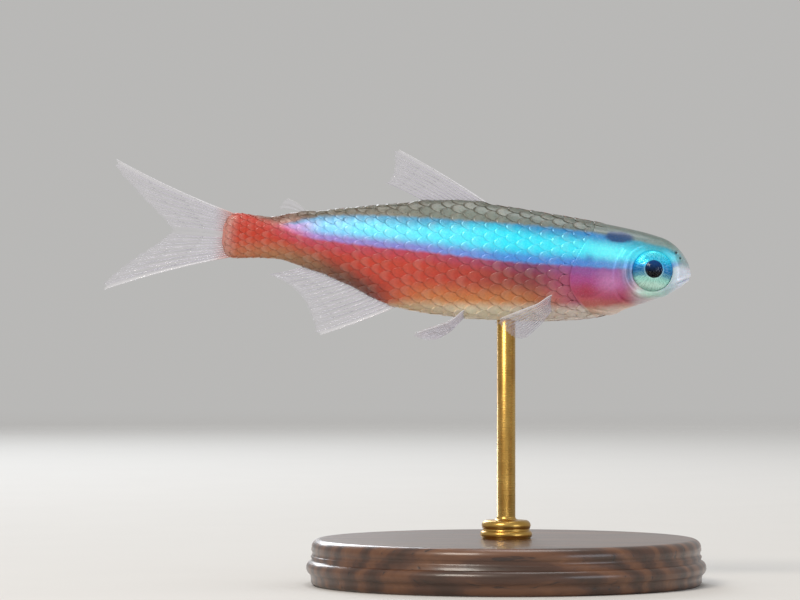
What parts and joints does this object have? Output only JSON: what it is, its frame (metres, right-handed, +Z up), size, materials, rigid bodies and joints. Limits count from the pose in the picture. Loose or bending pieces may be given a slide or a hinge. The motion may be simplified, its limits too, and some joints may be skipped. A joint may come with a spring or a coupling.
{
  "type": "cardinal tetra on a display stand",
  "caption": "Life-size cardinal tetra with a blue side stripe and red flanks, fins spread, held level on a round base by one rod.",
  "frame": {"origin": "middle of the underside of the stand's round base", "axes": "+X the way the fish heads, +Y its left side, +Z up"},
  "size_m": [0.0393, 0.026, 0.0282],
  "materials": {
    "skin": "scaly skin with a metallic blue-green stripe over red",
    "gill_cover": "smooth, pearly red",
    "eye": "wet and glossy, black pupil in a blue-green iris",
    "fin": "clear, thin and rayed",
    "stand_wood": "dark turned wood, satin lacquer",
    "stand_brass": "polished"
  },
  "bodies": {
    "root": {"adipose_fin": "fin", "anal_fin": "fin", "dorsal_fin": "fin", "eye_left": "eye", "eye_right": "eye", "gill_cover_left": "gill_cover", "gill_cover_right": "gill_cover", "head": "skin", "pectoral_fin_left": "fin", "pectoral_fin_right": "fin", "pelvic_fin_left": "fin", "pelvic_fin_right": "fin", "stand_base": "stand_wood", "stand_rod": "stand_brass", "tail": "skin", "tail_fin_lower": "fin", "tail_fin_upper": "fin", "trunk": "skin"}
  },
  "joints": []
}
